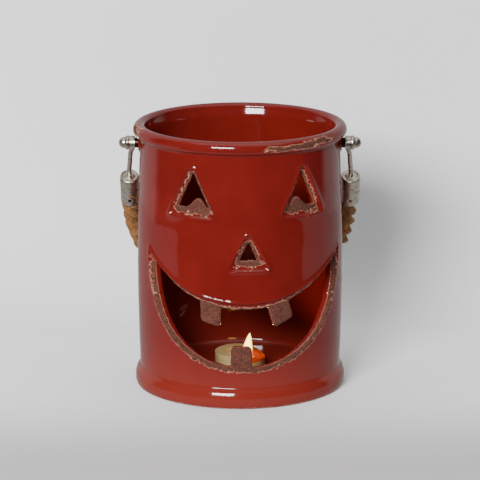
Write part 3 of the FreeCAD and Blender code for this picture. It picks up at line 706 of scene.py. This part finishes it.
class PotMesh:
    """Collects vertices as (angle, radius, height), with the clay field at each."""

    def __init__(self):
        self.columns = [[], [], [], []]
        self.faces, self.count = [], 0

    def add(self, angle, radius, height, clay=GLAZED):
        """Add vertices and return their numbers."""
        size = len(np.atleast_1d(angle))
        for column, value in zip(self.columns, (angle, radius, height, clay)):
            column.append(np.broadcast_to(np.asarray(value, float), size))
        first = self.count
        self.count += size
        return np.arange(first, first + size)

    def strip(self, low, high, closed=True):
        """Quads between two rows of vertex numbers, low to high, facing outwards."""
        steps = len(low) if closed else len(low) - 1
        for k in range(steps):
            n = (k + 1) % len(low)
            self.faces.append((low[k], low[n], high[n], high[k]))

    def strips(self, rows, downwards=False):
        """Strips between the rows of a turned skin, in the order they were added."""
        for first, second in zip(rows, rows[1:]):
            self.strip(second, first) if downwards else self.strip(first, second)

    def object(self, name):
        angle, radius, height, clay = (np.concatenate(column) for column in self.columns)
        angle = angle + FACE_TURN
        vertices = np.column_stack([radius * np.sin(angle), -radius * np.cos(angle), height])
        piece = mesh_object(name, vertices.tolist(), [tuple(map(int, f)) for f in self.faces])
        layer = piece.data.attributes.new("clay", "FLOAT", "POINT")
        layer.data.foreach_set("value", clay.astype(np.float32))
        return piece


def column_angles():
    return 2 * math.pi * (np.arange(COLUMNS) - FACE_HALF_COLUMNS) / COLUMNS


def make_pot():
    openings = make_openings()
    loops, spread = face_points(openings)
    coords = np.vstack(loops + [spread])
    edges, first = [], 0
    for loop in loops:
        count = len(loop)
        edges += [(first + k, first + (k + 1) % count) for k in range(count)]
        first += count
    solved = geometry.delaunay_2d_cdt([Vector(p) for p in coords.tolist()], edges, [], 0, 1e-6)
    points = np.array([tuple(p) for p in solved[0]])
    triangles = np.array([tuple(f) for f in solved[2]])
    number_of = {old: new for new, olds in enumerate(solved[3]) for old in olds}
    centres = points[triangles].mean(1)
    keep = np.ones(len(triangles), bool)
    for opening in openings:
        keep &= ~inside(centres, opening.hole)
    triangles = triangles[keep]

    pot = PotMesh()
    outer, inner, clay = skin(points, openings)
    edge = nearest(points, [o.hole for o in openings])
    bare = np.clip(clay / 0.8 + 0.5, 0, 1)
    outer -= rim_rounding(edge, 0.9) + 0.22 * bare
    rough = fractals(points[:, 0] / 1.9, points[:, 1] / 1.9, 2.0, 0.7, 2.2, 3)
    outer += 0.16 * bare * rough
    inner_front = inner + rim_rounding(edge, 1.6)
    angle = points[:, 0] / UNROLL
    face_out = pot.add(angle, outer, points[:, 1], clay)
    face_in = pot.add(angle, inner_front, points[:, 1])
    for a, b, c in triangles:
        pot.faces.append((face_out[a], face_out[b], face_out[c]))
        pot.faces.append((face_in[c], face_in[b], face_in[a]))

    first = len(loops[0])
    for opening in openings:
        count = len(opening.hole)
        ring = np.array([number_of[first + k] for k in range(count)])
        first += count
        hole_wall(pot, opening, points[ring], face_out[ring], face_in[ring],
                  outer[ring], inner_front[ring])

    border = [number_of[k] for k in range(len(loops[0]))]
    back_wall(pot, border, face_out, face_in)
    dress(pot.object("pot"), glaze(), "pot", "glazed_clay", "ceramic_pot")


def hole_wall(pot, opening, ring, out_row, in_row, outer, inner):
    """The cut through the wall's thickness, slightly wavy, glazed but for its front edge."""
    shares = (0.05, 0.12, 0.24, 0.42, 0.62, 0.8, 0.92)
    rows = [out_row]
    for share in shares:
        wave = fractals(ring[:, 0] / 4.0, ring[:, 1] / 4.0, opening.seed + share * 2, 0.8, 2.0, 2)
        # the walls belly a little into the opening where the glaze ran thick
        belly = 0.35 * math.sin(math.pi * share) + 0.22 * wave * math.sin(math.pi * share)
        place = ring - normals(ring) * belly[:, None]
        clay = 0.9 - share * 9.0
        radius = outer + (inner - outer) * share
        rows.append(pot.add(place[:, 0] / UNROLL, radius, place[:, 1], clay))
    pot.strips([*rows, in_row])


def back_wall(pot, border, face_out, face_in):
    """The plain wall outside the face's patch, the foot, the rim, the bore and the floor."""
    across, rows = 2 * FACE_HALF_COLUMNS, FACE_ROWS
    right = border[across:across + rows + 1]
    left = ([*border[2 * across + rows:], border[0]])[::-1]
    bottom = border[:across + 1]
    top = border[across + rows:2 * across + rows + 1][::-1]
    heights = np.linspace(FACE_LOW, FACE_HIGH, rows + 1)
    angles = column_angles()[across + 1:]
    grid_out, grid_in = [], []
    for i, z in enumerate(heights):
        points = np.column_stack([angles * UNROLL, np.full(len(angles), z)])
        outer, inner, _ = skin(points, [])
        middle_out, middle_in = pot.add(angles, outer, z), pot.add(angles, inner, z)
        for grid, middle, face in ((grid_out, middle_out, face_out), (grid_in, middle_in, face_in)):
            grid.append(np.concatenate([[face[right[i]]], middle, [face[left[i]]]]))
    for i in range(rows):
        pot.strip(grid_out[i], grid_out[i + 1], closed=False)
        pot.strip(grid_in[i + 1], grid_in[i], closed=False)
    row = {}
    for name, grid, face in (("out", grid_out, face_out), ("in", grid_in, face_in)):
        row[name, "low"] = np.concatenate([face[bottom], grid[0][1:-1]])
        row[name, "high"] = np.concatenate([face[top], grid[-1][1:-1]])
    rim_rows(pot, row["out", "high"], row["in", "high"])
    foot_rows(pot, row["out", "low"], row["in", "low"])


def rim_chips(angles, radius, height):
    """Bare patches knocked off the rolled rim; most are on the viewer's right."""
    degrees = np.degrees((angles + math.pi) % (2 * math.pi) - math.pi)
    field = np.full(len(angles), -3.0)
    for centre, reach, level, depth in RIM_CHIPS:
        away = np.abs((degrees - centre + 180) % 360 - 180)
        span = np.clip(1 - (away / reach) ** 2, -1, 1)
        vertical = np.clip(1 - ((height - level) / depth) ** 2, -1, 1)
        outside = radius > BEAD_MIDDLE
        patch = np.where(outside, np.minimum(span, vertical) * 1.6, -3.0)
        field = np.maximum(field, patch)
    waver = fractals(angles * 14, height / 2.4, 8.0, 0.6, 2.2, 4)
    return field + 1.6 * waver - 0.3


def rim_rows(pot, out_high, in_high):
    """Neck, rolled bead and the step down into the bore."""
    neck = barrel(188.6)
    profile = [(barrel(187.8), 187.8), (neck, 188.6), (neck + 0.25, 189.3), (neck + 0.9, 189.85)]
    for k in range(22):
        angle = math.radians(-68 + k * 10)
        profile.append((BEAD_MIDDLE + BEAD_RADIUS * math.cos(angle),
                        BEAD_HEIGHT + BEAD_RADIUS * math.sin(angle)))
    # inside, the roll runs out in a short flare
    profile += [(70.74, 197.2), (70.45, 195.8), (70.0, 194.4), (69.53, 193.0), (69.18, 191.6),
                (69.03, 190.2), (69.0, 188.6)]
    angles = column_angles()
    rows = [out_high]
    for radius, height in profile:
        field = rim_chips(angles, radius, height)
        rows.append(pot.add(angles, radius + throwing(angles, height), height, field))
    pot.strips([*rows, in_high])


def foot_rows(pot, out_low, in_low):
    """Crease and rounded foot, underside, then the bore's lower end and the floor."""
    corners = [(barrel(17.2), 17.2), (barrel(15.0), 14.9), (78.0, 12.0), (79.3, 8.0), (79.3, 3.0),
               (78.2, 0.0), (60.8, 0.0), (59.6, UNDERSIDE_HEIGHT),
               (UNDERSIDE_RADIUS, UNDERSIDE_HEIGHT)]
    outline = rounded(corners, [0, 2.2, 3.5, 3.0, 1.6, 0.8, 0.8, 0.8, 0], step=0.6)
    angles = column_angles()
    rows = [out_low]
    for radius, height in outline:
        field = foot_clay(angles, height)
        rows.append(pot.add(angles, radius + throwing(angles, height) * 0.8, height, field))
    pot.strips(rows, downwards=True)
    close_disc(pot, rows[-1], UNDERSIDE_RADIUS, UNDERSIDE_HEIGHT, facing_up=False)
    corners = [(BORE_RADIUS, 17.0), (BORE_RADIUS, FLOOR_HEIGHT), (FLOOR_RADIUS, FLOOR_HEIGHT)]
    outline = rounded(corners, [0, 3.6, 0], step=0.7)
    rows = [in_low]
    for radius, height in outline:
        rows.append(pot.add(angles, radius + throwing(angles + 2.0, height * 0.8) * 0.9, height))
    pot.strips(rows)
    close_disc(pot, rows[-1], FLOOR_RADIUS, FLOOR_HEIGHT, facing_up=True)


def foot_clay(angles, height):
    """The foot's resting edge is wiped clean of glaze."""
    waver = fractals(angles * 11, height, 3.0, 0.7, 2.0, 3)
    return np.full(len(angles), 0.9 - height * 1.4) + 0.8 * waver


def close_disc(pot, rim, radius, height, facing_up):
    """Rings in to the centre of a flat disc."""
    angles = column_angles()
    rings = [rim]
    clay = GLAZED if facing_up else 2.0
    for share in (0.9, 0.78, 0.64, 0.5, 0.36, 0.22, 0.1):
        sag = 0.12 * np.sin(share * 21.0) if facing_up else 0.0
        rings.append(pot.add(angles, radius * share, height + sag, clay))
    pot.strips(rings, downwards=not facing_up)
    centre = pot.add([0.0], 0.0, height, clay)[0]
    last = rings[-1]
    for k in range(COLUMNS):
        a, b = last[k], last[(k + 1) % COLUMNS]
        pot.faces.append((a, b, centre) if facing_up else (b, a, centre))


def glaze():
    """Deep red glaze over brown clay, chipped off along the cut edges."""
    f = Finish("red_glaze", IOR=1.5)
    field = f.attribute("clay")
    ragged_edge = f.noise(1.5, detail=6.0, roughness=0.72)
    fine_edge = f.noise(0.45, detail=3.0, roughness=0.6)
    shifted = f.add(field, f.times(f.math("SUBTRACT", ragged_edge, 0.5), 3.3))
    shifted = f.add(shifted, f.times(f.math("SUBTRACT", fine_edge, 0.5), 1.0))
    clay = f.span(shifted, -0.10, 0.10)
    lip = f.times(f.span(shifted, -0.38, -0.12), f.span(shifted, 0.12, 0.30, 1.0, 0.0))

    broad = f.noise(38.0, detail=2.0)
    streak = f.noise(9.0, detail=3.0, where=f.stretched(1.0, 1.0, 0.22))
    speck = f.noise(1.1, detail=2.0)
    red = f.mix(f.span(broad, 0.3, 0.7), rgb(98, 22, 18), rgb(105, 25, 21))
    red = f.mix(f.span(streak, 0.42, 0.78, 0.0, 0.35), red, rgb(91, 18, 15))
    red = f.mix(f.span(speck, 0.66, 0.76, 0.0, 0.22), red, rgb(72, 14, 10))
    # painted light: the red is lighter towards the foot, where light from the floor falls on it
    height = f.part_of(f.place, 2)
    red = f.mix(f.span(height, 0.006, 0.050, 0.75, 0.0), red, rgb(123, 40, 31))

    earth = f.mix(f.span(f.noise(1.6, detail=5.0, roughness=0.7), 0.3, 0.7),
                  rgb(42, 13, 5), rgb(88, 37, 21))
    # painted shade: small dark spots stand in for the shade in the bare clay's pits
    pit_shade = f.span(f.cells(0.85), 0.06, 0.30, 1.0, 0.0)
    earth = f.mix(f.times(pit_shade, 0.55), earth, rgb(26, 11, 8))
    earth = f.mix(f.span(f.noise(0.6, detail=3.0), 0.6, 0.72, 0.0, 0.45), earth, rgb(128, 76, 60))
    # thin pale rims of glaze left inside the bare clay
    crack = f.math("ABSOLUTE", f.math("SUBTRACT", f.noise(2.3, detail=5.0, roughness=0.68), 0.5))
    earth = f.mix(f.span(crack, 0.003, 0.012, 0.6, 0.0), earth, rgb(170, 114, 90))

    colour = f.mix(clay, red, earth)
    colour = f.mix(f.times(lip, 0.8), colour, rgb(202, 146, 118))
    gloss = f.blend_value(clay, 0.07, 0.92)
    gloss = f.add(gloss, f.times(lip, 0.12))

    peel = f.noise(5.5, detail=2.0)
    layer = f.times(clay, -0.55)
    grit = f.times(f.times(f.noise(0.7, detail=4.0, roughness=0.7), clay), 0.5)
    layered = f.add(layer, grit)
    smooth = f.bump(peel, 0.05, strength=0.35)
    return f.set(Base_Color=colour, Roughness=gloss, Normal=f.bump(layered, 0.5, under=smooth))


# ---- metal hardware

def make_boss(side, sign):
    """Glazed lump round the stud hole."""
    corners = [(9.6, 73.6), (7.0, 75.0), (5.6, 76.0), (0.0, 76.0)]
    profile = rounded(corners, [0, 2.4, 0.9, 0], step=0.2)
    vertices, faces = lathe(profile, 56)
    piece = mesh_object(f"{side}_boss", placed(vertices, along_x(sign)), faces)
    dress(piece, plain_glaze(), "pot", "glazed_clay")


def make_knob(side, sign):
    """Cap nut: domed end that runs out into a rounded flange."""
    face, end, ball = 82.7, 90.6, 4.2
    middle = end - ball
    corners = [(2.6, face), (5.25, face), (5.4, face + 1.9), (4.3, face + 2.9), (ball, middle)]
    profile = rounded(corners, [0, 0.6, 0.9, 0.8, 0], step=0.15)
    profile += [Vector((ball * math.cos(math.pi / 2 * k / 16),
                        middle + ball * math.sin(math.pi / 2 * k / 16))) for k in range(1, 16)]
    profile.append(Vector((0.0, end)))

    def cast(angle, height, radius):
        place = Vector((radius * math.cos(angle), radius * math.sin(angle), height)) / 3.5
        return 0.07 * noise.noise(place + Vector((0, 0, 5 * sign)))

    vertices, faces = lathe(profile, 56, cast)
    piece = mesh_object(f"{side}_knob_turned", placed(vertices, along_x(sign)), faces)
    dress(piece, nickel(), "pot", "aged_nickel", f"{side}_knob")


def make_ferrule(side, sign):
    """Drawn metal cap: sunk end with a soft rolled rim, crimped round the rod, and a pin dimple."""
    corners = [(1.9, -35.9), (3.0, -36.0), (4.6, -36.7), (6.3, -35.9), (7.2, -36.6), (7.15, -48.0),
               (7.2, -63.0), (6.6, -63.0), (6.6, -37.5), (1.9, -37.2)]
    outline = rounded(corners, [0, 0.5, 1.6, 0.9, 0.9, 9.0, 0.25, 0.25, 0.6, 0], step=0.2)
    # rows every half millimetre, so that the dimple and the folds have shape
    profile = [Vector(p) for p in resample(outline, 0.5, closed=False).tolist()]
    around, dimple_height, dimple_reach = 96, -57.0, 1.45

    def uneven(angle, height, radius):
        wave = 0.05 * noise.noise(Vector((1.6 * math.cos(angle), 1.6 * math.sin(angle),
                                          height / 9 + 9 * sign)))
        if radius < 6.8:
            return 0.0
        front = math.atan2(math.sin(angle + math.pi / 2), math.cos(angle + math.pi / 2))
        away = math.hypot(front * radius, height - dimple_height)
        return wave - 0.05 - 0.8 * math.exp(-(away / dimple_reach) ** 4)

    vertices, faces = lathe(profile, around, uneven)
    folded = []
    for x, y, z in vertices:
        radius = math.hypot(x, y)
        if z > -37.0 and radius > 2.4:
            # the end is gathered in shallow folds round the rod
            angle = math.atan2(y, x)
            fade = math.sin(math.pi * min(max((radius - 2.0) / 4.6, 0), 1))
            z += 0.22 * fade * noise.noise(Vector((2.6 * math.cos(angle), 2.6 * math.sin(angle),
                                                   radius / 1.6 + 7 * sign)))
        folded.append((x, y, z))
    last = (len(profile) - 1) * around
    for k in range(around):
        n = (k + 1) % around
        faces.append((last + k, last + n, n, k))
    piece = mesh_object(f"{side}_ferrule_drawn",
                        placed(folded, handle_matrix(sign * HANDLE_REACH)), faces)
    dress(piece, nickel(), "handle", "aged_nickel", f"{side}_ferrule")


@functools.cache
def nickel():
    """Aged nickel: warm grey, uneven, with darker spots."""
    f = Finish("aged_nickel_finish", Metallic=1.0)
    cloud = f.noise(4.0, detail=4.0, roughness=0.6)
    spots = f.noise(0.7, detail=3.0)
    tone = f.mix(f.span(cloud, 0.3, 0.7), rgb(186, 175, 160), rgb(222, 214, 202))
    tone = f.mix(f.span(spots, 0.6, 0.74, 0.0, 0.6), tone, rgb(112, 98, 84))
    gloss = f.blend_value(f.span(cloud, 0.3, 0.75), 0.24, 0.4)
    return f.set(Base_Color=tone, Roughness=gloss,
                 Normal=f.bump(f.add(cloud, f.times(spots, 0.3)), 0.12, 0.5))


@functools.cache
def plain_glaze():
    """The glaze again, without chips, for the bosses."""
    f = Finish("boss_glaze", IOR=1.5)
    cloud = f.noise(4.0, detail=3.0)
    tone = f.mix(cloud, rgb(92, 19, 13), rgb(108, 25, 17))
    return f.set(Base_Color=tone, Roughness=f.blend_value(cloud, 0.07, 0.12),
                 Normal=f.bump(cloud, 0.08, 0.4))


# ---- CAD nodes that stay

def metal(name, light, dark, gloss):
    f = Finish(name, Metallic=1.0)
    cloud = f.noise(2.0, detail=4.0, roughness=0.6)
    scratch = f.noise(0.5, detail=2.0, where=f.stretched(1.0, 0.15, 1.0))
    tone = f.mix(f.span(cloud, 0.3, 0.7), dark, light)
    rough = f.blend_value(scratch, gloss * 0.7, gloss * 1.3)
    return f.set(Base_Color=tone, Roughness=rough, Normal=f.bump(scratch, 0.03, 0.4))


def plastic(name, light, dark, gloss, **sockets):
    f = Finish(name, **sockets)
    cloud = f.noise(3.0)
    grain = f.noise(0.35, detail=2.0)
    tone = f.mix(f.span(cloud, 0.3, 0.7), dark, light)
    rough = f.blend_value(grain, gloss * 0.8, gloss * 1.2)
    return f.set(Base_Color=tone, Roughness=rough, Normal=f.bump(grain, 0.03, 0.5))


def repaint(material, *names):
    for name in names:
        slots = NODES[name].material_slots
        if not slots:
            NODES[name].data.materials.append(material)
        for item in slots:
            item.material = material


def finish_nodes():
    dark = metal("dark_washer", rgb(74, 66, 60), rgb(40, 34, 30), 0.4)
    screw = metal("screw_zinc", rgb(172, 168, 160), rgb(120, 116, 108), 0.32)
    for side in ("left", "right"):
        repaint(dark, f"{side}_spacer", f"{side}_rivet")
        repaint(screw, f"{side}_stud", f"{side}_inner_washer")
        repaint(nickel(), f"{side}_hanger")
    repaint(plastic("board_fibre", rgb(40, 104, 60), rgb(26, 74, 42), 0.45), "circuit_board")
    repaint(plastic("led_lens", rgb(240, 222, 180), rgb(226, 200, 150), 0.2,
                    Transmission_Weight=0.5), "led")
    repaint(metal("cell_nickel", rgb(200, 200, 202), rgb(160, 160, 164), 0.25), "coin_cell")
    repaint(metal("brass_spring", rgb(206, 176, 108), rgb(160, 128, 70), 0.3), "battery_contact")
    ivory = plastic("ivory_moulding", rgb(176, 154, 112), rgb(162, 138, 96), 0.42)
    repaint(ivory, "battery_door", "tealight_cup")
    repaint(plastic("black_moulding", rgb(42, 42, 44), rgb(26, 26, 28), 0.5), "switch_slider")


# ---- tea light

def wax():
    """Ivory wax, with the flame lamp's light painted orange on one side, where it also glows."""
    f = Finish("candle_wax", Roughness=0.42, IOR=1.44, Subsurface_Weight=0.35,
               Subsurface_Scale=0.004)
    f.shader.inputs["Subsurface Radius"].default_value = (1.0, 0.6, 0.3)
    cloud = f.noise(6.0, detail=3.0)
    across = f.part_of(f.place, 0)
    # painted light and glow: the side towards the flame's lamp is painted orange and given a faint
    # emission
    lit = f.span(across, 0.002, 0.010)
    tone = f.mix(cloud, rgb(158, 132, 88), rgb(174, 150, 106))
    tone = f.mix(lit, tone, rgb(190, 70, 24))
    glow = f.blend_value(lit, 0.0, 0.10)
    return f.set(Base_Color=tone, Emission_Color=tone, Emission_Strength=glow,
                 Normal=f.bump(f.noise(2.4, detail=3.0), 0.1, 0.4))


def flame():
    """Lit plastic flame, paler where it is looked at square on."""
    f = Finish("flame_light", Roughness=0.3)
    facing = f.node("ShaderNodeLayerWeight", output=1, inputs={"Blend": 0.35})
    tone = f.mix(facing, rgb(255, 224, 120), rgb(255, 150, 12))
    power = f.blend_value(facing, 5.5, 1.3)
    # its mirror image in the glaze is as bright as the bare lamp inside it
    mirrored = f.node("ShaderNodeLightPath", output="Is Glossy Ray")
    power = f.times(power, f.blend_value(mirrored, 1.0, 14.0))
    return f.set(Base_Color=tone, Emission_Color=tone, Emission_Strength=power)


def finish_tealight():
    repaint(wax(), "tealight_wax")
    repaint(flame(), "flame_lens")
    lamp = bpy.data.lights.new("flame_glow", "SPOT")
    lamp.energy = 0.22
    lamp.color = (1.0, 0.42, 0.08)
    lamp.shadow_soft_size = 0.004
    lamp.spot_size, lamp.spot_blend = math.radians(120), 1.0
    glow = new_object("flame_glow", lamp)
    low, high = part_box("flame_lens")
    glow.location = ((low[0] + high[0]) / 2, (low[1] + high[1]) / 2, high[2] + 0.003)
    # the lamp shines to the right, over the melted side of the wax
    glow.rotation_euler = Vector((1.0, 0.25, 0.8)).to_track_quat("-Z", "Y").to_euler()
    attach(glow, "tealight")


# ---- studio

def view_vector(azimuth, elevation, distance):
    """Place round the pot; azimuth is measured from the camera's side, positive to its right."""
    turn, rise = math.radians(azimuth), math.radians(elevation)
    return Vector((distance * math.sin(turn) * math.cos(rise),
                   -distance * math.cos(turn) * math.cos(rise), distance * math.sin(rise)))


def softbox(name, azimuth, elevation, distance, width, height, power):
    lamp = bpy.data.lights.new(name, "AREA")
    lamp.shape = "RECTANGLE"
    lamp.size, lamp.size_y = width, height
    lamp.energy = power
    box = new_object(name, lamp)
    box.location = view_vector(azimuth, elevation, distance)
    aim = Vector((0, 0, 0.1)) - box.location
    box.rotation_euler = aim.to_track_quat("-Z", "Y").to_euler()


def paper():
    """White paper; from behind it lets the view through."""
    f = Finish("paper", Roughness=0.85, Specular_IOR_Level=0.1)
    tone = f.mix(f.noise(60.0), rgb(238, 239, 240), rgb(241, 242, 243))
    near = f.part_of(f.place, 1)
    # painted shade: the paper is darker towards the front of the sheet, where the light falls off
    tone = f.mix(f.span(near, -0.22, -0.03, 1.0, 0.0), tone, rgb(186, 182, 183))
    f.set(Base_Color=tone)
    clear = f.node("ShaderNodeBsdfTransparent")
    behind = f.node("ShaderNodeNewGeometry", output="Backfacing")
    both = f.node("ShaderNodeMixShader", inputs={0: behind, 1: f.shader.outputs[0], 2: clear})
    surface = f.tree.nodes["Material Output"].inputs["Surface"]
    f.tree.links.new(both, surface)
    return f.material


def make_backdrop():
    """White sweep: floor, curve and wall in one sheet behind the pot, and a card for its gloss."""
    flat_to, curve, half, front, top = 0.15, 0.12, 1.7, -3.0, 2.4
    profile = [(front, 0.0)] + [(flat_to + curve * math.sin(a), curve - curve * math.cos(a))
                                for a in np.linspace(0, math.pi / 2, 24)]
    profile.append((flat_to + curve, top))
    vertices, faces = [], []
    for y, z in profile:
        vertices += [(-half / MM, y / MM, z / MM), (half / MM, y / MM, z / MM)]
    for i in range(len(profile) - 1):
        faces.append((2 * i, 2 * i + 1, 2 * i + 3, 2 * i + 2))
    sheet = mesh_object("backdrop", vertices, faces)
    sheet.data.materials.append(paper())
    sheet.visible_glossy = False
    make_gloss_card()


def make_gloss_card():
    """The lit paper near the pot, as the glaze reflects it: wide at the sides, short in front."""
    steps = 90
    rim = []
    for k in range(steps + 1):
        azimuth = -180 + 360 * k / steps
        side = min(max((abs(azimuth) - 62) / 10, 0), 1)
        side = side * side * (3 - 2 * side)
        place = view_vector(azimuth, 0, 0.20 + 0.50 * side) / MM
        rim.append((place.x, place.y, 0.4))
    vertices = [(0, 0, 0.4)] + rim[:-1]
    faces = [(0, 1 + k, 1 + (k + 1) % steps) for k in range(steps)]
    card = mesh_object("gloss_card", vertices, faces)
    f = Finish("card_light", Roughness=1.0, Specular_IOR_Level=0.0)
    f.set(Base_Color=(0, 0, 0, 1), Emission_Color=f.mix(f.noise(80.0), (0.40, 0.39, 0.385, 1),
                                                      (0.44, 0.43, 0.425, 1)))
    f.shader.inputs["Emission Strength"].default_value = 1.0
    card.data.materials.append(f.material)
    card.visible_camera = card.visible_diffuse = card.visible_shadow = False
    card.visible_transmission = False


def make_world():
    """Pale walls to the sides and back, a dark studio in front; pale where it is looked at."""
    world = bpy.data.worlds.new("studio")
    bpy.context.scene.world = world
    world.use_nodes = True
    w = Nodes(world.node_tree)
    place = w.node("ShaderNodeTexCoord", output="Generated")
    across, along, up = (w.part_of(place, axis) for axis in range(3))
    # angle about Z, 0 towards the camera's side
    azimuth = w.math("ABSOLUTE", w.math("ARCTAN2", across, w.times(along, -1.0)))
    walls = w.times(w.span(azimuth, math.radians(104), math.radians(116)), 0.50)
    above = w.times(w.span(up, 0.5, 0.95), 0.25)
    level = w.add(w.add(walls, above), 0.035)
    seen = w.node("ShaderNodeLightPath", output="Is Camera Ray")
    background = w.tree.nodes["Background"].inputs
    w.feed(background["Strength"], w.blend_value(seen, level, 0.64))
    background["Color"].default_value = (0.99, 1.0, 1.0, 1.0)


def make_lights():
    softbox("key", -19, 27, 2.2, 0.85, 0.5, 80.0)
    softbox("top", 0, 80, 1.6, 1.8, 0.8, 4.0)


make_camera()
make_rope()
make_pot()
for side_name, side_sign in (("left", -1), ("right", 1)):
    make_boss(side_name, side_sign)
    make_knob(side_name, side_sign)
    make_ferrule(side_name, side_sign)
finish_nodes()
finish_tealight()
make_backdrop()
make_world()
make_lights()
